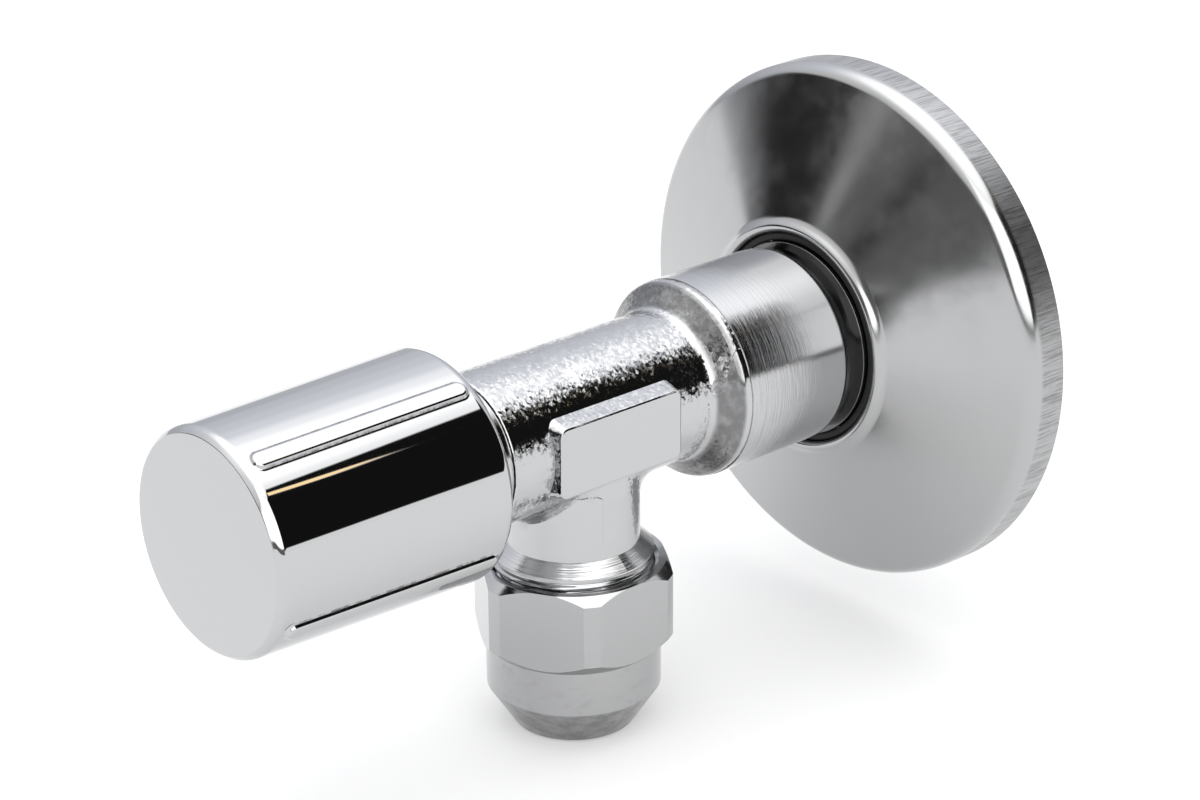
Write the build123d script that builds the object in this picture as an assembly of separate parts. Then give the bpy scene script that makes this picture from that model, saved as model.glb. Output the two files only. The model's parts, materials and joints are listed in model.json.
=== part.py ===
"""Angle valve: wall thread, wall rosette, forged body, round handle and a compression outlet.

Millimetres. The inlet axis is the Y axis and the wall is the plane y = 0, with the wall behind it
at +Y. The handle looks towards -Y and the outlet points down, along -Z.
d is a distance from the wall plane towards the handle, and h is a distance below the inlet axis.
"""
import os
from math import atan2, cos, hypot, pi, radians, sin, tan

from build123d import *

# Clearances
RUNNING_FIT = 0.05        # radial, between a shaft and its bore
FACE_GAP = 0.05           # axial, between faces that turn or slide on each other
THREAD_FIT = 0.08         # radial, between a screw thread and its nut

# Travel of the plunger
THREAD_LEAD = 1.25
HANDLE_TURNS = 3.5
STROKE_SPARE = 0.35       # room left at the end of the stroke

# Inlet: G 1/2 male thread, a plain land for the grip ring, and the turned neck
INLET_THREAD_DIAMETER = 20.955
INLET_THREAD_BEHIND_WALL = 6.0
INLET_THREAD_LENGTH = 13.6
INLET_THREAD_CHAMFER = 1.0
INLET_BORE_DIAMETER = 12.0
RELIEF_WIDTH = 1.4
RELIEF_DEPTH = 1.2
LAND_LENGTH = 2.8
NECK_GROOVE_WIDTH = 0.5
NECK_GROOVE_DEPTH = 0.9
NECK_END_ROUND = 0.85
NECK_LENGTH = 14.4

# Forged shoulder and barrel
SHOULDER_DIAMETER = 20.8
SHOULDER_RIM = 0.9        # straight rim of the shoulder, next to the neck
SHOULDER_SLOPE_LENGTH = 2.0
SHOULDER_FILLET = 1.5
SHOULDER_ROUND = 0.9
BARREL_DIAMETER = 15.8
BARREL_END = 55.9         # d where the forged skin ends
BARREL_END_ROUND = 0.25
SOCKET_RIM_DIAMETER = 15.2
SOCKET_RIM_LENGTH = 3.6   # turned rim of the barrel, half hidden by the handle

# Seat and chamber inside the barrel
SEAT_D = 35.0             # d of the seat's rim
SEAT_HOLE_DIAMETER = 7.2
SEAT_RIM_WIDTH = 1.0
SEAT_RIM_HEIGHT = 0.8
SEAT_WEB = 3.0
CHAMBER_DIAMETER = 11.8
BONNET_THREAD_DIAMETER = 13.0
BONNET_THREAD_LENGTH = 9.0

# Outlet branch with its G 3/8 thread
BRANCH_D = 41.9           # d of the outlet axis
BRANCH_DIAMETER = 13.8
BRANCH_SKIN_H = 12.95     # h where the forged skin ends
BRANCH_FILLET = 2.4
OUTLET_THREAD_DIAMETER = 16.66
OUTLET_THREAD_PITCH = 1.337
OUTLET_THREAD_H = 14.2    # h where the thread has its full diameter
OUTLET_THREAD_LENGTH = 10.7
OUTLET_THREAD_CHAMFER = 0.6
OUTLET_BORE_DIAMETER = 8.2
PIPE_BORE_DIAMETER = 10.1  # for a pipe of 10 mm
PIPE_STOP_H = 15.0
CONE_MOUTH_DIAMETER = 14.2
CONE_HALF_ANGLE = 25.0

# Flat boss on the +X side of the barrel
BOSS_D = 42.8
BOSS_LENGTH = 15.8
BOSS_HEIGHT = 7.4
BOSS_FACE_X = 8.7
BOSS_DRAFT = 14.0
BOSS_CORNER = 0.8
BOSS_EDGE = 0.3
BOSS_ROOT_X = 5.0

# Shallow pad on the branch, towards the handle
PAD_ANGLE = -48.0         # degrees, from +X towards +Y
PAD_WIDTH = 7.6
PAD_TOP_H = 6.0
PAD_BOTTOM_H = 11.6
PAD_HEIGHT = 0.16
PAD_CORNER = 0.6

# Wall rosette, pressed from sheet
ROSETTE_DIAMETER = 56.4
ROSETTE_SHEET = 0.6
ROSETTE_SKIRT = 4.9       # height of the skirt to the cone's outer corner
ROSETTE_SHOULDER_ROUND = 1.9
ROSETTE_LIP_D = 11.5
ROSETTE_HOLE_DIAMETER = 22.8
ROSETTE_BEAD_WIDTH = 0.95  # rolled edge round the hole
ROSETTE_BEAD_FOOT = 0.9   # slope from the rolled edge down to the cone
ROSETTE_BEAD_RISE = 0.55  # how far the rolled edge stands above the cone
ROSETTE_BEAD_ROUND = 0.6
ROSETTE_CREASE_ROUND = 1.2
ROSETTE_COLLAR = 2.1      # length of the collar that is turned into the hole

# Grip ring between the rosette and the neck
GRIP_FRONT_D = 11.2
GRIP_LENGTH = 2.4
GRIP_FLANGE_DIAMETER = 24.2
GRIP_FLANGE_LENGTH = 0.7

# Bonnet
GASKET_THICKNESS = 0.8
BONNET_HEX = 14.0
BONNET_HEX_LENGTH = 3.5
BONNET_HEX_CHAMFER = 0.6
BONNET_NECK_DIAMETER = 11.8
BONNET_NECK_LENGTH = 6.0
BONNET_NOSE_DIAMETER = 11.2
BONNET_NOSE_LENGTH = 4.4
GUIDE_BORE_DIAMETER = 9.8
GUIDE_HEX = 8.1
SPINDLE_BORE_DIAMETER = 9.5
SPINDLE_BORE_LENGTH = 7.9
RETAINER_GROOVE_DEPTH = 0.4
RETAINER_GROOVE_WIDTH = 0.7
RETAINER_LAND = 0.9       # bore wall in front of the groove

# Spindle with its washers and rings
SPINDLE_THREAD_DIAMETER = 6.0
SPINDLE_TIP_CHAMFER = 0.5
TIP_INSIDE_PLUNGER = 5.9
WASHER_THICKNESS = 0.5
RETAINER_THICKNESS = 0.6
RETAINER_INNER_DIAMETER = 8.2
RETAINER_GAP_ANGLE = 40.0
SPINDLE_NECK_DIAMETER = 7.8
SPINDLE_NECK_LENGTH = 2.1
SPLINE_DIAMETER = 7.9
SPLINE_ROOT_DIAMETER = 7.1
SPLINE_TEETH = 20
SPLINE_LENGTH = 8.2
O_RING_GROOVE_WIDTH = 1.2
O_RING_GROOVE_DEPTH = 1.0
O_RING_PITCH = 2.2
O_RING_FIRST = 0.8        # from the spindle's shoulder to the inner groove

# Plunger, its washer and screw
PLUNGER_HEAD_DIAMETER = 10.2
PLUNGER_HEAD_LENGTH = 3.4
PLUNGER_CUP_DEPTH = 1.2
PLUNGER_STEM_DIAMETER = 6.6
PLUNGER_GUIDE_LENGTH = 5.0
PLUNGER_GUIDE_INSIDE = 3.6  # how much of the guide is in the bonnet when shut
PLUNGER_HEX_LENGTH = 6.3
PLUNGER_GROOVE_WIDTH = 1.4
PLUNGER_GROOVE_DEPTH = 0.8
PLUNGER_GROOVE_FROM_HEX = 1.1
VALVE_WASHER_DIAMETER = 9.2
VALVE_WASHER_THICKNESS = 2.4
SCREW_DIAMETER = 2.5
SCREW_HEAD_DIAMETER = 4.2
SCREW_HEAD_HEIGHT = 1.3
SCREW_LENGTH = 5.5
SCREW_SLOT = 0.5

# Handle
HANDLE_FRONT_D = 86.6
HANDLE_REAR_D = 59.0
HANDLE_FRONT_DIAMETER = 22.8
HANDLE_REAR_DIAMETER = 23.9
HANDLE_WALL = 1.6
HANDLE_FACE = 2.6
HANDLE_FRONT_EDGE = 0.45
HANDLE_REAR_EDGE = 1.2
HANDLE_HUB_DIAMETER = 13.2
HANDLE_HUB_GAP = 0.6      # from the bonnet's neck to the handle's hub
HANDLE_WEBS = 6
HANDLE_WEB_THICKNESS = 1.3
HANDLE_WEB_SETBACK = 1.6
INSERT_DIAMETER = 10.2
INSERT_LENGTH = 9.8
RIBS = 4
RIB_ANGLE = 59.5          # degrees, from +X towards +Z
RIB_RADIUS = 1.3
RIB_HEIGHT = 0.45
RIB_FRONT = 1.8           # from the handle's face to the rib's end
RIB_REAR = 1.5            # from the handle's rear edge to the rib's end
RIB_FILLET = 0.3

# Compression nut, width 19 across the flats
NUT_TOP_H = 15.4
NUT_FLATS = 19.0
NUT_CORNERS = 21.0
NUT_HEX_LENGTH = 8.93
NUT_TOP_FACE_DIAMETER = 19.1
NUT_TOP_CHAMFER = 48.0    # degrees from the nut's axis
NUT_BOTTOM_DIAMETER = 18.3
NUT_COLLAR_DIAMETER = 18.0
NUT_COLLAR_LENGTH = 4.82
NUT_CONE_LENGTH = 4.2
NUT_END_DIAMETER = 12.56
NUT_EDGE = 0.25
NUT_THREAD_LENGTH = 10.2
NUT_SEAT_DIAMETER = 14.3
NUT_SEAT_LENGTH = 1.15
NUT_TURN = -0.5           # degrees, as in the photograph
NUT_MOUTH_CHAMFER = 0.4

# Compression ring
RING_DIAMETER = 13.8
RING_FRONT_H = 21.8
RING_CONE_GAP = 0.15
RING_LAND = 2.0
RING_REAR_CONE = 1.5

# Lines that several parts share
THREAD_R = INLET_THREAD_DIAMETER / 2
INLET_END_D = -INLET_THREAD_BEHIND_WALL
THREAD_FRONT_D = INLET_END_D + INLET_THREAD_LENGTH
LAND_REAR_D = THREAD_FRONT_D + RELIEF_WIDTH
LAND_FRONT_D = LAND_REAR_D + LAND_LENGTH
NECK_REAR_D = LAND_FRONT_D + NECK_GROOVE_WIDTH
NECK_FRONT_D = NECK_REAR_D + NECK_LENGTH
BODY_FRONT_D = BARREL_END + SOCKET_RIM_LENGTH
FLANGE_D = BODY_FRONT_D + GASKET_THICKNESS
NECK_ROOT_D = FLANGE_D + BONNET_HEX_LENGTH
BONNET_FRONT_D = NECK_ROOT_D + BONNET_NECK_LENGTH
SPINDLE_BORE_D = BONNET_FRONT_D - SPINDLE_BORE_LENGTH
NOSE_D = BODY_FRONT_D - BONNET_THREAD_LENGTH - BONNET_NOSE_LENGTH + FACE_GAP
WASHER_FRONT_D = SEAT_D + FACE_GAP
CUP_FLOOR_D = WASHER_FRONT_D + VALVE_WASHER_THICKNESS
HEAD_FRONT_D = CUP_FLOOR_D - PLUNGER_CUP_DEPTH
HEAD_REAR_D = HEAD_FRONT_D + PLUNGER_HEAD_LENGTH
HEX_START_D = NOSE_D + PLUNGER_GUIDE_INSIDE
STROKE = THREAD_LEAD * HANDLE_TURNS
GUIDE_END_D = HEX_START_D + STROKE + STROKE_SPARE
PLUNGER_END_D = HEX_START_D + PLUNGER_HEX_LENGTH
TIP_D = PLUNGER_END_D - TIP_INSIDE_PLUNGER
SPINDLE_SHOULDER_D = SPINDLE_BORE_D + WASHER_THICKNESS + FACE_GAP
RETAINER_GROOVE_D = BONNET_FRONT_D - RETAINER_LAND - RETAINER_GROOVE_WIDTH
SPINDLE_COLLAR_END_D = RETAINER_GROOVE_D - FACE_GAP
SPLINE_START_D = SPINDLE_COLLAR_END_D + SPINDLE_NECK_LENGTH
SPINDLE_END_D = SPLINE_START_D + SPLINE_LENGTH
HUB_D = BONNET_FRONT_D + HANDLE_HUB_GAP
GUIDE_R = GUIDE_BORE_DIAMETER / 2 - 2 * RUNNING_FIT
PIPE_R = PIPE_BORE_DIAMETER / 2
OUTLET_END_H = OUTLET_THREAD_H + OUTLET_THREAD_LENGTH
NUT_HEX_END_H = NUT_TOP_H + NUT_HEX_LENGTH
NUT_CONE_H = NUT_HEX_END_H + NUT_COLLAR_LENGTH
NUT_END_H = NUT_CONE_H + NUT_CONE_LENGTH
NUT_BORE_R = OUTLET_THREAD_DIAMETER / 2 + THREAD_FIT
NUT_BORE_END_H = NUT_TOP_H + NUT_THREAD_LENGTH
NUT_SEAT_H = NUT_BORE_END_H + NUT_SEAT_LENGTH


def outline(points):
    """A closed face in the XY plane. A point is x, y and, where its corner is round, a radius."""
    corners = [point[2] if len(point) > 2 else 0 for point in points]
    return make_face(FilletPolyline(*[point[:2] for point in points], radius=corners, close=True))


def turned(points):
    """A solid turned about the inlet axis, from points of radius and d."""
    return revolve(outline([(p[0], -p[1], *p[2:]) for p in points]), axis=Axis.Y)


def turned_down(points):
    """A solid turned about the outlet axis, from points of radius and h."""
    profile = Plane.XZ * outline([(p[0], -p[1], *p[2:]) for p in points])
    return Pos(0, -BRANCH_D, 0) * revolve(profile, axis=Axis.Z)


def ring(inner_r, outer_r, start_d, end_d, edge=0.0):
    """A plain ring on the inlet axis."""
    return turned([(inner_r, start_d, edge), (outer_r, start_d, edge),
                   (outer_r, end_d, edge), (inner_r, end_d, edge)])


def o_ring(inner_r, outer_r, middle_d):
    """A rubber ring on the inlet axis, as thick as its groove is deep."""
    section_r = (outer_r - inner_r) / 2
    section = Pos(inner_r + section_r, -middle_d) * Circle(section_r)
    return revolve(section, axis=Axis.Y)


def along(sketch, start_d, end_d):
    """A prism on the inlet axis from a sketch drawn round that axis."""
    place = Plane(origin=(0, -start_d, 0), x_dir=(1, 0, 0), z_dir=(0, -1, 0))
    return extrude(place * sketch, amount=end_d - start_d)


def downward(sketch, start_h, end_h):
    """A prism on the outlet axis from a sketch drawn round that axis."""
    return extrude(Pos(0, -BRANCH_D, -end_h) * sketch, amount=end_h - start_h)


def hexagon(flats, rotation=0.0):
    """A hexagon by its width across the flats, with one flat facing +X at no rotation."""
    return RegularPolygon(flats / 2, 6, major_radius=False, rotation=rotation + 30)


def forged_blank():
    """Barrel, shoulder, neck and thread as one turned form, with no bore yet."""
    relief_r = THREAD_R - RELIEF_DEPTH
    groove_r = THREAD_R - NECK_GROOVE_DEPTH
    shoulder_r = SHOULDER_DIAMETER / 2
    barrel_r = BARREL_DIAMETER / 2
    rim_r = SOCKET_RIM_DIAMETER / 2
    slope_d = NECK_FRONT_D + SHOULDER_RIM
    return turned([
        (0, INLET_END_D),
        (THREAD_R - INLET_THREAD_CHAMFER, INLET_END_D),
        (THREAD_R, INLET_END_D + INLET_THREAD_CHAMFER),
        (THREAD_R, THREAD_FRONT_D),
        (relief_r, THREAD_FRONT_D),
        (relief_r, LAND_REAR_D),
        (THREAD_R, LAND_REAR_D),
        (THREAD_R, LAND_FRONT_D),
        (groove_r, LAND_FRONT_D),
        (groove_r, NECK_REAR_D),
        (THREAD_R, NECK_REAR_D, NECK_END_ROUND),
        (THREAD_R, NECK_FRONT_D),
        (shoulder_r, NECK_FRONT_D),
        (shoulder_r, slope_d, SHOULDER_ROUND),
        (barrel_r, slope_d + SHOULDER_SLOPE_LENGTH, SHOULDER_FILLET),
        (barrel_r, BARREL_END, BARREL_END_ROUND),
        (rim_r, BARREL_END),
        (rim_r, BODY_FRONT_D),
        (0, BODY_FRONT_D),
    ])


def branch_blank():
    """The outlet branch from the inlet axis down to its threaded end, with no bore yet."""
    branch_r = BRANCH_DIAMETER / 2
    thread_r = OUTLET_THREAD_DIAMETER / 2
    return turned_down([
        (0, 0),
        (branch_r, 0),
        (branch_r, BRANCH_SKIN_H),
        (thread_r, OUTLET_THREAD_H),
        (thread_r, OUTLET_END_H - OUTLET_THREAD_CHAMFER),
        (thread_r - OUTLET_THREAD_CHAMFER, OUTLET_END_H),
        (0, OUTLET_END_H),
    ])


def joined_blanks():
    """Barrel and branch fused, with the forging's fillet where they meet."""
    blank = forged_blank() + branch_blank()
    reach = BARREL_DIAMETER / 2 + 0.1
    corner = [e for e in blank.edges()
              if -reach < e.center().Z < -0.5
              and abs(e.center().Y + BRANCH_D) < BRANCH_DIAMETER / 2 + 0.1
              and abs(e.bounding_box().max.Z - e.bounding_box().min.Z) > 1]
    return fillet(corner, BRANCH_FILLET)


def boss():
    """The flat rectangular boss, with drafted sides and soft edges."""
    depth = BOSS_FACE_X - BOSS_ROOT_X
    spread = 2 * depth * tan(radians(BOSS_DRAFT))
    root = RectangleRounded(BOSS_LENGTH + spread, BOSS_HEIGHT + spread, BOSS_CORNER + spread / 2)
    place = Plane(origin=(BOSS_ROOT_X, -BOSS_D, 0), x_dir=(0, 1, 0), z_dir=(1, 0, 0))
    block = extrude(place * root, amount=depth, taper=BOSS_DRAFT)
    return fillet(block.faces().sort_by(Axis.X)[-1].edges(), BOSS_EDGE)


def pad():
    """The shallow pad that the forging has on the branch, with one round corner in view."""
    skin = Cylinder(BRANCH_DIAMETER / 2 + PAD_HEIGHT, PAD_BOTTOM_H - PAD_TOP_H)
    skin = Pos(0, -BRANCH_D, -(PAD_TOP_H + PAD_BOTTOM_H) / 2) * skin
    shape = RectangleRounded(PAD_WIDTH, PAD_BOTTOM_H - PAD_TOP_H, PAD_CORNER)
    angle = radians(PAD_ANGLE)
    place = Plane(origin=(0, -BRANCH_D, -(PAD_TOP_H + PAD_BOTTOM_H) / 2),
                  x_dir=(-sin(angle), cos(angle), 0), z_dir=(cos(angle), sin(angle), 0))
    return skin & extrude(place * shape, amount=BRANCH_DIAMETER)


def inlet_bore():
    """Waterway from the wall to the seat's web, and the hole through the seat."""
    bore_r = INLET_BORE_DIAMETER / 2
    hole_r = SEAT_HOLE_DIAMETER / 2
    web_d = SEAT_D - SEAT_RIM_HEIGHT - SEAT_WEB
    return turned([
        (0, INLET_END_D - 1),
        (bore_r, INLET_END_D - 1),
        (bore_r, web_d),
        (hole_r, web_d + (bore_r - hole_r) * 0.4),
        (hole_r, SEAT_D + 1),
        (0, SEAT_D + 1),
    ])


def chamber_bore():
    """The valve chamber round the seat's rim, and the thread for the bonnet."""
    rim_r = SEAT_HOLE_DIAMETER / 2 + SEAT_RIM_WIDTH
    chamber_r = CHAMBER_DIAMETER / 2
    thread_r = BONNET_THREAD_DIAMETER / 2
    thread_d = BODY_FRONT_D - BONNET_THREAD_LENGTH
    return turned([
        (0, SEAT_D),
        (rim_r, SEAT_D),
        (rim_r, SEAT_D - SEAT_RIM_HEIGHT),
        (chamber_r, SEAT_D - SEAT_RIM_HEIGHT),
        (chamber_r, thread_d),
        (thread_r, thread_d),
        (thread_r, BODY_FRONT_D + 1),
        (0, BODY_FRONT_D + 1),
    ])


def outlet_bore():
    """Waterway down the branch, the pipe's socket and the cone for the compression ring."""
    bore_r = OUTLET_BORE_DIAMETER / 2
    mouth_r = CONE_MOUTH_DIAMETER / 2
    cone_length = (mouth_r - PIPE_R) / tan(radians(CONE_HALF_ANGLE))
    return turned_down([
        (0, 0),
        (bore_r, 0),
        (bore_r, PIPE_STOP_H),
        (PIPE_R, PIPE_STOP_H),
        (PIPE_R, OUTLET_END_H - cone_length),
        (mouth_r, OUTLET_END_H),
        (mouth_r, OUTLET_END_H + 1),
        (0, OUTLET_END_H + 1),
    ])


def valve_body():
    solid = joined_blanks() + boss() + pad()
    return solid - inlet_bore() - chamber_bore() - outlet_bore()


def wall_rosette():
    """Pressed sheet: skirt, round shoulder, cone, rolled edge and the collar in the hole."""
    outer_r = ROSETTE_DIAMETER / 2
    sheet = ROSETTE_SHEET
    hole_r = ROSETTE_HOLE_DIAMETER / 2
    bead_r = hole_r + ROSETTE_BEAD_WIDTH
    crease_r = bead_r + ROSETTE_BEAD_FOOT
    crease_d = ROSETTE_LIP_D - ROSETTE_BEAD_RISE
    cone = atan2(crease_d - ROSETTE_SKIRT, outer_r - crease_r)
    under = sheet / cos(cone)
    inner_skirt_d = ROSETTE_SKIRT - under + sheet * tan(cone)
    collar_end_d = ROSETTE_LIP_D - ROSETTE_COLLAR
    return turned([
        (outer_r, 0),
        (outer_r, ROSETTE_SKIRT, ROSETTE_SHOULDER_ROUND),
        (crease_r, crease_d, ROSETTE_CREASE_ROUND),
        (bead_r, ROSETTE_LIP_D, ROSETTE_BEAD_ROUND / 2),
        (hole_r, ROSETTE_LIP_D, ROSETTE_BEAD_ROUND),
        (hole_r, collar_end_d),
        (hole_r + sheet, collar_end_d),
        (hole_r + sheet, crease_d - under, ROSETTE_BEAD_ROUND / 2),
        (crease_r, crease_d - under),
        (outer_r - sheet, inner_skirt_d, ROSETTE_SHOULDER_ROUND - sheet),
        (outer_r - sheet, 0),
    ])


def rosette_grip_ring():
    """A bush in the rosette's hole, with a flange behind the collar."""
    inner_r = THREAD_R + RUNNING_FIT
    outer_r = ROSETTE_HOLE_DIAMETER / 2 - RUNNING_FIT
    flange_r = GRIP_FLANGE_DIAMETER / 2
    flange_d = ROSETTE_LIP_D - ROSETTE_COLLAR - FACE_GAP
    rear_d = min(flange_d - GRIP_FLANGE_LENGTH, GRIP_FRONT_D - GRIP_LENGTH)
    return turned([
        (inner_r, GRIP_FRONT_D, 0.3),
        (outer_r, GRIP_FRONT_D, 0.3),
        (outer_r, flange_d),
        (flange_r, flange_d, 0.2),
        (flange_r, rear_d, 0.2),
        (inner_r, rear_d),
    ])


def bonnet():
    """The housing of the headpart: nose, thread, hexagon flange, neck and its stepped bore."""
    nose_r = BONNET_NOSE_DIAMETER / 2
    thread_r = BONNET_THREAD_DIAMETER / 2 - RUNNING_FIT
    neck_r = BONNET_NECK_DIAMETER / 2
    guide_r = GUIDE_BORE_DIAMETER / 2
    spindle_r = SPINDLE_BORE_DIAMETER / 2
    groove_r = spindle_r + RETAINER_GROOVE_DEPTH
    thread_d = BODY_FRONT_D - BONNET_THREAD_LENGTH + FACE_GAP
    shell = turned([
        (guide_r, NOSE_D),
        (nose_r, NOSE_D, 0.3),
        (nose_r, thread_d),
        (thread_r, thread_d),
        (thread_r, FLANGE_D),
        (neck_r, NECK_ROOT_D),
        (neck_r, BONNET_FRONT_D, 0.3),
        (spindle_r, BONNET_FRONT_D),
        (spindle_r, RETAINER_GROOVE_D + RETAINER_GROOVE_WIDTH),
        (groove_r, RETAINER_GROOVE_D + RETAINER_GROOVE_WIDTH),
        (groove_r, RETAINER_GROOVE_D),
        (spindle_r, RETAINER_GROOVE_D),
        (spindle_r, SPINDLE_BORE_D),
        (1.0, SPINDLE_BORE_D),
        (1.0, GUIDE_END_D),
        (guide_r, GUIDE_END_D),
    ])
    corner_r = BONNET_HEX / 2 / cos(pi / 6)
    turned_corners = turned([
        (thread_r - 0.5, FLANGE_D),
        (corner_r, FLANGE_D),
        (corner_r, NECK_ROOT_D - BONNET_HEX_CHAMFER),
        (BONNET_HEX / 2, NECK_ROOT_D),
        (thread_r - 0.5, NECK_ROOT_D),
    ])
    flange = along(hexagon(BONNET_HEX), FLANGE_D, NECK_ROOT_D) & turned_corners
    return shell + flange - along(hexagon(GUIDE_HEX), GUIDE_END_D - 1, SPINDLE_BORE_D + 1)


def bonnet_seal_ring():
    return ring(BONNET_THREAD_DIAMETER / 2 + RUNNING_FIT, SOCKET_RIM_DIAMETER / 2 - RUNNING_FIT,
                BODY_FRONT_D, FLANGE_D)


def thrust_washer():
    return ring(SPINDLE_THREAD_DIAMETER / 2 + RUNNING_FIT, SPINDLE_BORE_DIAMETER / 2 - RUNNING_FIT,
                SPINDLE_BORE_D, SPINDLE_BORE_D + WASHER_THICKNESS)


def retaining_ring():
    """A snap ring in the bonnet's groove, open over a small angle."""
    outer_r = SPINDLE_BORE_DIAMETER / 2 + RETAINER_GROOVE_DEPTH - RUNNING_FIT
    start_d = RETAINER_GROOVE_D
    body = ring(RETAINER_INNER_DIAMETER / 2, outer_r, start_d, start_d + RETAINER_THICKNESS)
    half = radians(RETAINER_GAP_ANGLE / 2)
    gap = make_face(Polyline((0, 0), (2 * outer_r * cos(half), 2 * outer_r * sin(half)),
                             (2 * outer_r * cos(half), -2 * outer_r * sin(half)), close=True))
    return body - along(gap, start_d - 1, start_d + RETAINER_THICKNESS + 1)


def spline(outer_r, root_r):
    """A toothed disc: round teeth tips with straight-sided gaps between them."""
    step = 2 * pi / SPLINE_TEETH
    corners = []
    for tooth in range(SPLINE_TEETH):
        for radius, share in ((outer_r, -0.18), (outer_r, 0.18), (root_r, 0.32), (root_r, 0.68)):
            angle = (tooth + share) * step
            corners.append((radius * cos(angle), radius * sin(angle)))
    return make_face(Polyline(*corners, close=True))


def inner_groove_d():
    return SPINDLE_SHOULDER_D + O_RING_FIRST


def spindle():
    """Thread, sealing collar with two grooves, neck and splines."""
    thread_r = SPINDLE_THREAD_DIAMETER / 2 - RUNNING_FIT
    collar_r = SPINDLE_BORE_DIAMETER / 2 - RUNNING_FIT
    floor_r = collar_r - O_RING_GROOVE_DEPTH
    neck_r = SPINDLE_NECK_DIAMETER / 2
    first = inner_groove_d()
    second = first + O_RING_PITCH
    shaft = turned([
        (0, TIP_D),
        (thread_r - SPINDLE_TIP_CHAMFER, TIP_D),
        (thread_r, TIP_D + SPINDLE_TIP_CHAMFER),
        (thread_r, SPINDLE_SHOULDER_D),
        (collar_r, SPINDLE_SHOULDER_D),
        (collar_r, first),
        (floor_r, first),
        (floor_r, first + O_RING_GROOVE_WIDTH),
        (collar_r, first + O_RING_GROOVE_WIDTH),
        (collar_r, second),
        (floor_r, second),
        (floor_r, second + O_RING_GROOVE_WIDTH),
        (collar_r, second + O_RING_GROOVE_WIDTH),
        (collar_r, SPINDLE_COLLAR_END_D),
        (neck_r, SPINDLE_COLLAR_END_D),
        (neck_r, SPLINE_START_D),
        (0, SPLINE_START_D),
    ])
    teeth = along(spline(SPLINE_DIAMETER / 2, SPLINE_ROOT_DIAMETER / 2), SPLINE_START_D,
                  SPINDLE_END_D)
    return shaft + teeth


def spindle_o_ring(groove_d):
    outer_r = SPINDLE_BORE_DIAMETER / 2 - RUNNING_FIT / 2
    inner_r = SPINDLE_BORE_DIAMETER / 2 - RUNNING_FIT - O_RING_GROOVE_DEPTH
    return o_ring(inner_r, outer_r, groove_d + O_RING_GROOVE_WIDTH / 2)


def plunger_groove_d():
    return HEX_START_D - PLUNGER_GROOVE_FROM_HEX - PLUNGER_GROOVE_WIDTH


def plunger():
    """Cup for the washer, stem, guide with a groove, and the hexagon with the tapped hole."""
    head_r = PLUNGER_HEAD_DIAMETER / 2
    cup_r = VALVE_WASHER_DIAMETER / 2 + RUNNING_FIT
    stem_r = PLUNGER_STEM_DIAMETER / 2
    floor_r = GUIDE_R - PLUNGER_GROOVE_DEPTH
    hole_r = SPINDLE_THREAD_DIAMETER / 2
    screw_r = SCREW_DIAMETER / 2 + RUNNING_FIT
    groove = plunger_groove_d()
    guide_d = HEX_START_D - PLUNGER_GUIDE_LENGTH
    hole_d = TIP_D - STROKE - STROKE_SPARE
    screw_end_d = WASHER_FRONT_D + SCREW_LENGTH + 0.2
    body = turned([
        (screw_r, CUP_FLOOR_D),
        (cup_r, CUP_FLOOR_D),
        (cup_r, HEAD_FRONT_D),
        (head_r, HEAD_FRONT_D, 0.15),
        (head_r, HEAD_REAR_D, 0.5),
        (stem_r, HEAD_REAR_D, 0.5),
        (stem_r, guide_d, 0.3),
        (GUIDE_R, guide_d),
        (GUIDE_R, groove),
        (floor_r, groove),
        (floor_r, groove + PLUNGER_GROOVE_WIDTH),
        (GUIDE_R, groove + PLUNGER_GROOVE_WIDTH),
        (GUIDE_R, HEX_START_D),
        (hole_r, HEX_START_D),
        (hole_r, hole_d),
        (0, hole_d),
        (0, screw_end_d),
        (screw_r, screw_end_d),
    ])
    hexagon_part = along(hexagon(GUIDE_HEX - 2 * RUNNING_FIT), HEX_START_D, PLUNGER_END_D)
    return body + hexagon_part - ring(0, hole_r, HEX_START_D - 1, PLUNGER_END_D + 1)


def plunger_o_ring():
    outer_r = GUIDE_BORE_DIAMETER / 2 - RUNNING_FIT / 2
    return o_ring(GUIDE_R - PLUNGER_GROOVE_DEPTH, outer_r,
                  plunger_groove_d() + PLUNGER_GROOVE_WIDTH / 2)


def valve_washer():
    return ring(SCREW_DIAMETER / 2 + RUNNING_FIT, VALVE_WASHER_DIAMETER / 2, WASHER_FRONT_D,
                CUP_FLOOR_D, 0.15)


def washer_screw():
    """Slotted screw, with its head on the washer inside the seat's hole."""
    head_r = SCREW_HEAD_DIAMETER / 2
    shank_r = SCREW_DIAMETER / 2
    head_d = WASHER_FRONT_D - SCREW_HEAD_HEIGHT
    body = turned([
        (0, head_d),
        (head_r, head_d, 0.3),
        (head_r, WASHER_FRONT_D),
        (shank_r, WASHER_FRONT_D),
        (shank_r, WASHER_FRONT_D + SCREW_LENGTH),
        (0, WASHER_FRONT_D + SCREW_LENGTH),
    ])
    slot = along(Rectangle(SCREW_HEAD_DIAMETER + 1, SCREW_SLOT), head_d - 1, head_d + SCREW_SLOT)
    return body - slot


def handle_radius(d):
    """Outer radius of the handle at d, on its slight taper."""
    share = (HANDLE_FRONT_D - d) / (HANDLE_FRONT_D - HANDLE_REAR_D)
    return (HANDLE_FRONT_DIAMETER + (HANDLE_REAR_DIAMETER - HANDLE_FRONT_DIAMETER) * share) / 2


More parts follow.
